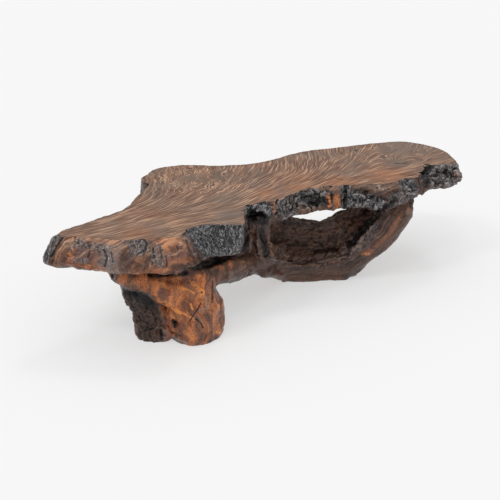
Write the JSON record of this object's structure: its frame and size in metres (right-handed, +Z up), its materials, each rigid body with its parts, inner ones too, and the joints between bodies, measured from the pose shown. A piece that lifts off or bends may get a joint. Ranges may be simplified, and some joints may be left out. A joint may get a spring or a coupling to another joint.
{
  "type": "redwood burl low table",
  "caption": "Free-form low table cut from one redwood burl: flat polished top with a live edge, on a bulbous foot and a hollow root cradle.",
  "frame": {"origin": "on the floor below the middle of the table's box", "axes": "+Z up, +X along the slab's length towards the squared end, -Y towards the side the roots show on"},
  "size_m": [1.6458, 0.7158, 0.38],
  "materials": {
    "polished_burl": "satin lacquer",
    "orange_root": "gloss lacquer",
    "dark_root": "gloss lacquer",
    "charred_root": "gloss lacquer"
  },
  "bodies": {
    "root": {"burl_top": "polished_burl", "left_foot": "orange_root", "bridge_root": "dark_root", "root_cradle": "charred_root"}
  },
  "joints": []
}
